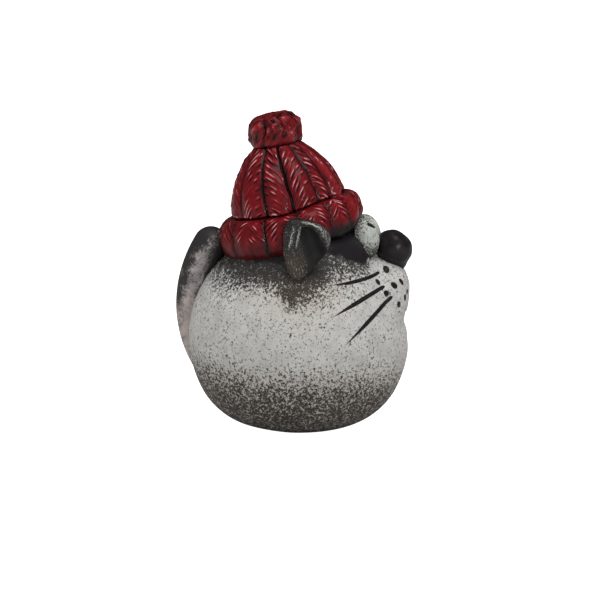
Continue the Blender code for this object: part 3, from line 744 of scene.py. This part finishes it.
def makeCuff():
    # a rolled ring: half an ellipse outside, a straight wall inside, deeper behind than in front
    rows, columns = cuff["mesh"]
    turn = fullTurn(columns)[None, :]
    down = np.linspace(0, np.pi, rows)[:, None]
    x, ahead = -np.cos(turn), np.sin(turn)
    facing = np.degrees(np.arcsin(ahead))
    tall = (cuff["height"] - cuff["lean"] * ahead + cuff["sag"] * bump(facing, -20, 30)
            + cuff["frontSag"] * bump(facing, 52, 16))
    part = (1 - np.cos(down)) / 2
    bulge = np.sin(down) ** (0.72 + 0.2 * part)
    radius = cuff["wall"] + (cuff["bulge"] - cuff["backBulge"] * ahead) * bulge
    height = lineDip(x, ahead) * (1 - part) - tall * part
    number, nearest, deep, across, side, mmWide, angle, fold = ribsAt(x, ahead, 0, radius)
    along = down / np.pi * cuff["girth"]
    # grooves between the ribs, broken and fading downwards
    wander = 0.5 * waves(along / 6, nearest, 5)
    fromGroove = np.minimum(across * mmWide + wander, (1 - across) * mmWide - wander)
    recess = bump(angle, 1.5, 3.2) * smooth(along, 6, 12)
    depth = smooth(along, 0.5, 4) * (1 - 0.7 * smooth(along, 18, 28)) * (1 - 0.7 * fold)
    deep = np.where(nearest == -1, 0.75, 0.5 * deep)
    broken = 0.5 + 0.5 * smooth(waves(along / 6, nearest, 6), -0.6, 0.3)
    groove = bump(fromGroove, 0, 0.95 - 0.5 * deep) * depth * deep * broken
    valley = cuff["rib"] * (1 - np.sin(np.pi * across) ** 0.7) * np.minimum(1, bulge) * (0.4 + 0.6 * depth)
    # leaves that fan out from the middle of each rib
    upper = smooth(along, 1.5, 4.0) * (1 - smooth(along, 15, 20)) * (1 - 0.8 * smooth(fold, 0.3, 0.8))
    half, row = np.abs(side), number + (side > 0) * 0.5
    cut, lip = leafCuts(80 - along + 1.2 * half, half - 0.2 * mmWide, row, cuff["pitch"],
                        np.minimum(cuff["reach"], 0.24 * mmWide), cuff["thick"])
    more = leafCuts(81.5 - along + 1.4 * half, half - 0.42 * mmWide, row + 9, cuff["pitch"],
                    np.minimum(1.8, 0.12 * mmWide), 0.85 * cuff["thick"])
    cut, lip = np.maximum(cut, 0.8 * more[0]) * upper, np.maximum(lip, 0.8 * more[1]) * upper
    # how far the clay swells and sinks
    strand = waves(side / 1.5, along / 9, 8 + number) * smooth(along, 12, 20)
    knead = 0.35 * waves(side / 4, along / 5, 30 + number)
    swell = bulge * (0.8 * fold + knead - valley * (1 - 0.6 * fold) - 0.7 * groove - 0.3 * cut + 0.4 * lip
                     - 1.6 * recess)
    scale = 1 + (swell + 0.08 * strand) / radius
    outer = onHat(x * radius * scale, ahead * radius * scale, height)
    rise = np.linspace(1, 0, 14)[1:-1, None]
    inner = onHat(x * cuff["bore"] + 0 * rise, ahead * cuff["bore"] + 0 * rise, -tall * rise)
    # how light the glaze is: dark in cuts and at the crown's line; painted shade near the grooves, in the
    # recess by the ear and on the roll's lower half, most in front; pale on crests, partly thin glaze and
    # partly painted highlight; a painted highlight along the fold
    # painted shade: darker towards each groove, over the glaze pooled there
    shade = cuff["tone"] - 0.75 * groove - 0.16 * smooth(-fromGroove, -3.5, -0.6) * depth
    # pale lips are partly painted highlight; the roll's lower half, facing down, gets painted shade, most in
    # front between ear and eye
    shade = shade - 0.42 * cut + 0.46 * lip - (0.22 + 0.55 * bump(facing, 52, 20)) * smooth(along, 16, 28)
    # painted shade in the recess by the ear
    shade = shade - 0.5 * bump(along, 0, 1.0) * (1 - fold) - 0.4 * recess
    shade = shade + 0.08 * strand + 0.1 * waves(side / 2.4, along / 4, 70 + number)
    foldGlintPatches = 0.4 + 0.6 * smooth(waves(along / 6, 0, 78), -0.6, 0.5)
    # painted highlight along the fold's crest, in patches
    shade = shade + 0.3 * bump(angle, crown["fold"] - 2, 2.6) * foldGlintPatches
    shade = shade - 0.06 * smooth(-ahead, 0, 0.8)
    carve = np.concatenate([shade, np.full((len(rise), turn.shape[1]), 0.1)])
    makePiece("hatCuff", np.concatenate([outer, inner]), "hat_cuff", redGlazed, rowsClose=True,
              layers={"carve": carve})


pompom = {"radius": 13.5, "half": 9.75, "square": 2.9, "seat": 6.25, "tufts": 8, "arcRadius": 12.5,
          "depth": 1.2, "strand": 1.5, "strandLong": 5.0, "pit": (6.0, 11.0, 1.0), "tone": 0.56,
          "mesh": (170, 480)}


def makePompom():
    # a squat egg pinched into tufts, each combed into strands that wander down it, with a pit on each side
    way = eggGrid(*pompom["mesh"])
    flat, tall = np.hypot(way[..., 0], way[..., 1]), np.abs(way[..., 2])
    reach = (flat ** pompom["square"] + tall ** pompom["square"]) ** (-1 / pompom["square"])
    grid = way * reach[..., None] * [pompom["radius"], pompom["radius"], pompom["half"]]
    turn = np.arctan2(way[..., 0], way[..., 1])
    arc = np.arccos(np.clip(way[..., 2], -1, 1)) * pompom["arcRadius"]
    share = turn / (2 * np.pi) * pompom["tufts"] + 0.5 + 0.12 * np.sin(arc / 3.3) * smooth(arc, 2, 8)
    tuft = np.floor(share) % pompom["tufts"]
    across = share - np.floor(share)
    out = np.hypot(grid[..., 0], grid[..., 1])
    wide = 2 * np.pi / pompom["tufts"] * out
    side = (across - 0.5) * wide
    fade = smooth(flat, 0.15, 0.55)
    valley = pompom["depth"] * np.minimum(1, out / pompom["radius"]) * (1 - np.sin(np.pi * across) ** 0.6)
    lean = (hashed(tuft, 3.0) - 0.5) * 1.1
    u = side + lean * arc * 0.5 + 0.5 * waves(arc / 3, tuft, 9)
    strand = waves(u / pompom["strand"], arc / pompom["strandLong"] + 3 * hashed(tuft, 5.0), 11 + tuft)
    tangle = waves(u / 2.4 + 0.4 * arc, arc / 2.8, 23 + tuft)
    fine = waves(u / 0.9, arc / 3.5, 37 + tuft)
    pitAngle, pitArc, pitWide = pompom["pit"]
    fromSide = np.degrees(np.arctan2(way[..., 1], np.abs(way[..., 0]))) - pitAngle
    pit = np.exp(-((fromSide * pompom["radius"] * np.pi / 180) ** 2 + (arc - pitArc) ** 2) / pitWide ** 2)
    lower = smooth(arc, 20, 26)
    body = (0.36 * strand + 0.42 * tangle + 0.14 * fine) * fade * (1 - 0.75 * lower)
    lumps = 0.25 * np.sin(3 * turn + 4 * way[..., 2]) * np.sin(2.5 * way[..., 2] + 1)
    grid = grid - way * (valley - body - lumps + 0.9 * pit)[..., None]
    # how light the glaze is: dark in the seams, in the hollows among the tangles, the pit and at the seat,
    # with painted highlights on the highest strands
    seam = bump(np.minimum(across, 1 - across) * wide, 0, 0.9) * smooth(flat, 0.25, 0.6)
    seam = seam * (0.45 + 0.55 * hashed(np.round(share) % pompom["tufts"], 4.0))
    tangleHollows = smooth(-tangle - 0.6 * fine, 0.35, 1.0) * fade
    # painted highlight where strands and tangles rise highest
    strandGlint = smooth(strand + 0.7 * tangle, 0.35, 1.1)
    carve = (pompom["tone"] + 0.17 * strand + 0.12 * tangle + 0.1 * fine + 0.1 * strandGlint * (1 - lower)
             - 0.22 * seam - 0.5 * pit)
    carve = carve - 0.2 * tangleHollows * (1 - lower)
    carve = carve - 0.45 * smooth(-grid[..., 2], pompom["seat"] - 1.4, pompom["seat"])
    height = np.maximum(grid[..., 2], -pompom["seat"]) + pompom["seat"] + crown["height"]
    makePiece("hatPompom", onHat(grid[..., 0], grid[..., 1], height), "hat_pompom", redGlazed,
              layers={"carve": carve})


makeCrown()
makeCuff()
makePompom()
print("hat made")

# Ears: cups pressed from a slab, their outline given by angle (from straight up, towards the front) and
# reach; the cup is a leaning trough that opens downwards on to the ball, with a tall rim behind it and a
# broad one in front
ear = {"f": 7.5, "z": 53.0, "crest": 45.9, "back": 36.6, "floor": 40.2, "edge": 2.3, "top": 63.2, "skin": 0.3,
       "angles": [-84.7, -53, -36, -20, 0, 23, 44, 64, 82, 101, 120, 150, 171, 185, 193, 200, 215, 236,
                  275.3],
       "reaches": [10.9, 13.4, 14.9, 13.4, 12.3, 11.8, 12.0, 12.3, 11.2, 10.1, 9.5, 9.9, 12.7, 16.1, 19.0,
                   18.9, 15.8, 12.5, 10.9],
       "trough": 7.8, "lean": 0.35, "half": 3.6, "spread": 0.24, "strips": (-0.5, 2.7), "stripLean": 0.23,
       "mesh": (131, 420)}


def earFace(f, z, fromEdge):
    # how far out the ear's face is, how deep in the cup it is (0 to 1), how much it is raised strip, and how
    # far across the cup it lies
    down = 60 - z
    off = f - ear["trough"] - ear["lean"] * down
    across = off / (ear["half"] + ear["spread"] * down + 1.4 * smooth(off, -1, 3))
    cup = (1 - smooth(np.abs(across), 0.1, 1.2)) * smooth(-z, -ear["top"] - 0.8, -ear["top"] + 3)
    ballX = np.sqrt(np.maximum(ball["radius"] ** 2 - z ** 2 - f ** 2, 400))
    rolled = ear["edge"] * (np.sqrt(np.clip(1 - (1 - np.clip(fromEdge / ear["edge"], 0, 1)) ** 2, 0, 1)) - 1)
    base = smooth(-z, -52, -40)
    rim = ear["crest"] - 0.22 * np.maximum(50 - z, 0) + rolled + 0.7 * base * bump(fromEdge, 3.5, 2.5)
    strip = np.zeros_like(f + z)
    for place in ear["strips"]:
        strip = np.maximum(strip, bump(f - place, ear["stripLean"] * (z - 53.5), 0.72))
    strip = strip * smooth(z, 51, 54) * smooth(-z, -64.5, -61.5)
    floor = ear["floor"] - 2.2 * smooth(-z, -56, -48)
    floor = floor + (np.maximum(ballX + ear["skin"], 34.5) - floor) * smooth(-z, -47.5, -42)
    out = rim + (floor - rim) * cup + 0.6 * strip * (1 - cup)
    return np.maximum(out, ballX + ear["skin"]), cup, strip, across


def makeEar(name, node, sign):
    # the face over the outline, ring by ring from the middle, then a flat back
    rows, columns = ear["mesh"]
    turn = np.linspace(0, 360, columns, endpoint=False)[None, :]
    first = ear["angles"][0]
    reach = np.interp((turn - first) % 360 + first, ear["angles"], ear["reaches"])
    for _ in range(3):
        reach = (np.roll(reach, 3, 1) + np.roll(reach, -3, 1) + 2 * reach) / 4
    df, dz = np.sin(np.radians(turn)), np.cos(np.radians(turn))
    ring = np.linspace(0, 1, rows)[1:, None] ** 0.9
    behind = np.linspace(1, 0, 12)[:-1, None]
    f, z, fromEdge = ear["f"] + ring * reach * df, ear["z"] + ring * reach * dz, (1 - ring) * reach
    out, cup, strip, across = earFace(f, z, fromEdge)
    rearF, rearZ = ear["f"] + behind * reach * df, ear["z"] + behind * reach * dz
    rearOut = earFace(rearF, rearZ, (1 - behind) * reach)[0]
    rear = np.stack([np.minimum(ear["back"] + 2.0 * behind ** 6, rearOut - 1.2), rearF, rearZ], -1)
    scratch = np.sin(2.3 * f + 0.5 * z + 1.5 * waves(f / 3, z / 4, 12)) ** 8
    scratch = scratch * smooth(-z, -53, -47) * smooth(fromEdge, 0.3, 1.5)
    out = out + 0.12 * waves(f / 1.6, z / 2.2, 13) * (1 - cup) + 0.12 * scratch * (1 - cup)
    face = np.stack([out, f, z], -1)
    grid = np.concatenate([face, rear]) * [sign, 1, 1]
    # where the glaze is rubbed off: the strips, two arcs along the top, the front rim and the scratched lower
    # end
    arcs = 0.95 * (bump(fromEdge, 0.7, 0.5) + bump(fromEdge, 3.0, 0.6)) * smooth(z, 59, 62) * smooth(f, 3, 7)
    front = 0.5 * smooth(across, 1.0, 1.3) * smooth(z, 50, 52)
    lower = (0.3 * scratch + 0.15) * smooth(-z, -54, -42)
    rub = np.maximum.reduce([0.85 * strip, arcs, front, lower, 0.12 + 0 * f])
    rub = rub * (1 - smooth(cup, 0.15, 0.5)) - 0.3 * cup
    rub = np.concatenate([rub, 0.1 + np.zeros((len(behind), columns))])
    rust = smooth(-grid[..., 2], -53, -46) * smooth(-grid[..., 1], -8, -4)
    makePiece(name, grid, node, charcoalGlazed, layers={"rub": rub, "rust": rust})


# Tail: a roll of clay up the back, from its low end to a round tip behind the cuff
tail = {"rootThick": 11.0, "tipThick": 17.5, "root": -20.0, "tip": 46.4, "proud": 17.6, "curl": 1.1,
        "mesh": (120, 140)}


def makeTail():
    # round sections along a curve that leaves the ball as it rises, closed by a round tip
    rows, columns = tail["mesh"]
    share = np.linspace(0, 1, rows)
    elevation = np.radians(tail["root"] + (tail["tip"] - tail["root"]) * share)
    thick = (tail["rootThick"] + (tail["tipThick"] - tail["rootThick"]) * share) / 2
    distance = ball["radius"] + tail["proud"] * share ** tail["curl"] - thick
    spine = np.stack([-distance * np.cos(elevation), distance * np.sin(elevation)], -1)
    step = np.gradient(spine, axis=0)
    ahead = step / np.linalg.norm(step, axis=1)[:, None]
    tipTurn = np.linspace(0, np.pi / 2, 24)[1:-1]
    spine = np.concatenate([spine, spine[-1] + ahead[-1] * thick[-1] * np.sin(tipTurn)[:, None]])
    thick = np.concatenate([thick, thick[-1] * np.cos(tipTurn)])
    ahead = np.concatenate([ahead, np.repeat(ahead[-1:], len(tipTurn), 0)])
    turn = fullTurn(columns)[None, :]
    across, outward = np.cos(turn) * thick[:, None], np.sin(turn) * thick[:, None]
    f = spine[:, :1] - outward * ahead[:, 1:]
    z = spine[:, 1:] + outward * ahead[:, :1]
    grid = np.stack([across + 0 * f, f, z], -1)
    # the wash lies along the middle and all over the low end, its light band along the sides also standing
    # for the light on the rounded roll; the tip stays dark, the outer edge is dark partly as painted shade,
    # and the side towards the ball is painted shade
    along = np.linspace(0, 1, len(thick))[:, None]
    wipe = 1.15 * bump(np.sin(turn), -0.1, 0.55) - 0.25 + 1.2 * (1 - smooth(along, 0.25, 0.6))
    # painted shade on the side that faces the ball
    ballSideShade = smooth(-np.sin(turn), 0.5, 0.85)
    wipe = wipe - 0.7 * smooth(along, 0.74, 0.88) - 1.6 * ballSideShade * smooth(along, 0.2, 0.35)
    low = 1 - smooth(along, 0.3, 0.65) + 0 * turn
    makePiece("catTail", grid, "tail", greyWashed, layers={"wipe": wipe, "low": low})


makeEar("catEarRight", "ear_right", -1)
makeEar("catEarLeft", "ear_left", 1)
makeTail()
print("ears and tail made")

# Floor and light: a pale sheet of paper that the camera sees lit from below, as on a light table, and that
# throws little light back on the figurine; soft boxes above, by the camera and behind
floorPaper, paperAdd, paperShader, paperPlace = newMaterial("paleFloorPaper")
fibre = paperAdd("TexNoise", {"Vector": paperPlace, "Scale": 400.0, "Detail": 3.0})
paperTone = paperAdd("ValToRGB", {"Fac": fibre}, [(0.3, "#a9a9a8"), (0.7, "#b2b2b1")])
seen = paperAdd("LightPath", out="Is Camera Ray")
glow = paperAdd("Math", {0: seen, 1: 1.1}, operation="MULTIPLY")
plug(paperShader, {"Base Color": paperTone, "Emission Strength": glow, "Roughness": 0.9,
                   "Specular IOR Level": 0.0, "Emission Color": (1, 1, 1, 1)})
floorMesh = bpy.data.meshes.new("floor")
floorMesh.from_pydata([(-9, -9, 0), (9, -9, 0), (9, 9, 0), (-9, 9, 0)], [], [(0, 1, 2, 3)])
floor = bpy.data.objects.new("floor", floorMesh)
floor.data.materials.append(floorPaper)
bpy.context.scene.collection.objects.link(floor)

# The room is white: bright to the camera and on matt clay, and dim in the gloss
world = bpy.data.worlds.new("studio")
bpy.context.scene.world = world
world.use_nodes = True
room = world.node_tree
glossRay = addNode(room, "LightPath", out="Is Glossy Ray")
around = addNode(room, "MapRange", {"Value": glossRay, "To Min": 1.09, "To Max": 0.04})
strength = addNode(room, "MapRange", {"Value": glossRay.node.outputs["Is Camera Ray"], "To Min": around,
                                      "To Max": 1.2})
plug(room.nodes["Background"], {"Color": (1, 1, 1, 1), "Strength": strength})

viewAt = {"azimuth": -85.0, "elevation": 11.0, "distance": 1.2, "lens": 144.0, "aimRight": 0.5, "aimUp": 18.0}
turnedBy, raisedBy = np.radians(viewAt["azimuth"]), np.radians(viewAt["elevation"])
backWay = np.array([np.sin(turnedBy) * np.cos(raisedBy), -np.cos(turnedBy) * np.cos(raisedBy),
                    np.sin(raisedBy)])
rightWay = np.array([np.cos(turnedBy), np.sin(turnedBy), 0])
upWay = np.cross(backWay, rightWay)
centre = np.array([0, ballY, ballHeight * mm])
aim = centre + rightWay * viewAt["aimRight"] * mm + upWay * viewAt["aimUp"] * mm


def addLight(name, place, size, watts, mirrored=True, diffuse=True):
    # a square soft box that faces the ball, seen in gloss (mirrored), in matt clay (diffuse) or in both
    lamp = bpy.data.lights.new(name, "AREA")
    lamp.size = size
    lamp.energy = watts
    box = bpy.data.objects.new(name, lamp)
    bpy.context.scene.collection.objects.link(box)
    box.location = place
    box.visible_glossy = mirrored
    box.visible_diffuse = diffuse
    box.rotation_euler = (Vector(centre) - Vector(place)).to_track_quat("-Z", "Y").to_euler()


addLight("topBox", (-0.35, -0.15, 1.1), 0.6, 2.8)
addLight("cameraBox", tuple(aim + backWay * 1.3 + upWay * 0.12 + rightWay * 0.7), 0.35, 2.3, mirrored=False)
addLight("glintBox", tuple(aim + backWay * 1.2 + upWay * 0.1 + rightWay * 0.5), 0.22, 3.5, diffuse=False)
addLight("backBox", (0.9, 0.5, 0.6), 0.8, 2.6, mirrored=False)

camera = bpy.data.objects.new("camera", bpy.data.cameras.new("camera"))
bpy.context.scene.collection.objects.link(camera)
camera.data.lens = viewAt["lens"]
camera.location = aim + backWay * viewAt["distance"]
camera.rotation_euler = Vector(-backWay).to_track_quat("-Z", "Y").to_euler()
bpy.context.scene.camera = camera
bpy.context.scene.view_settings.view_transform = "Standard"
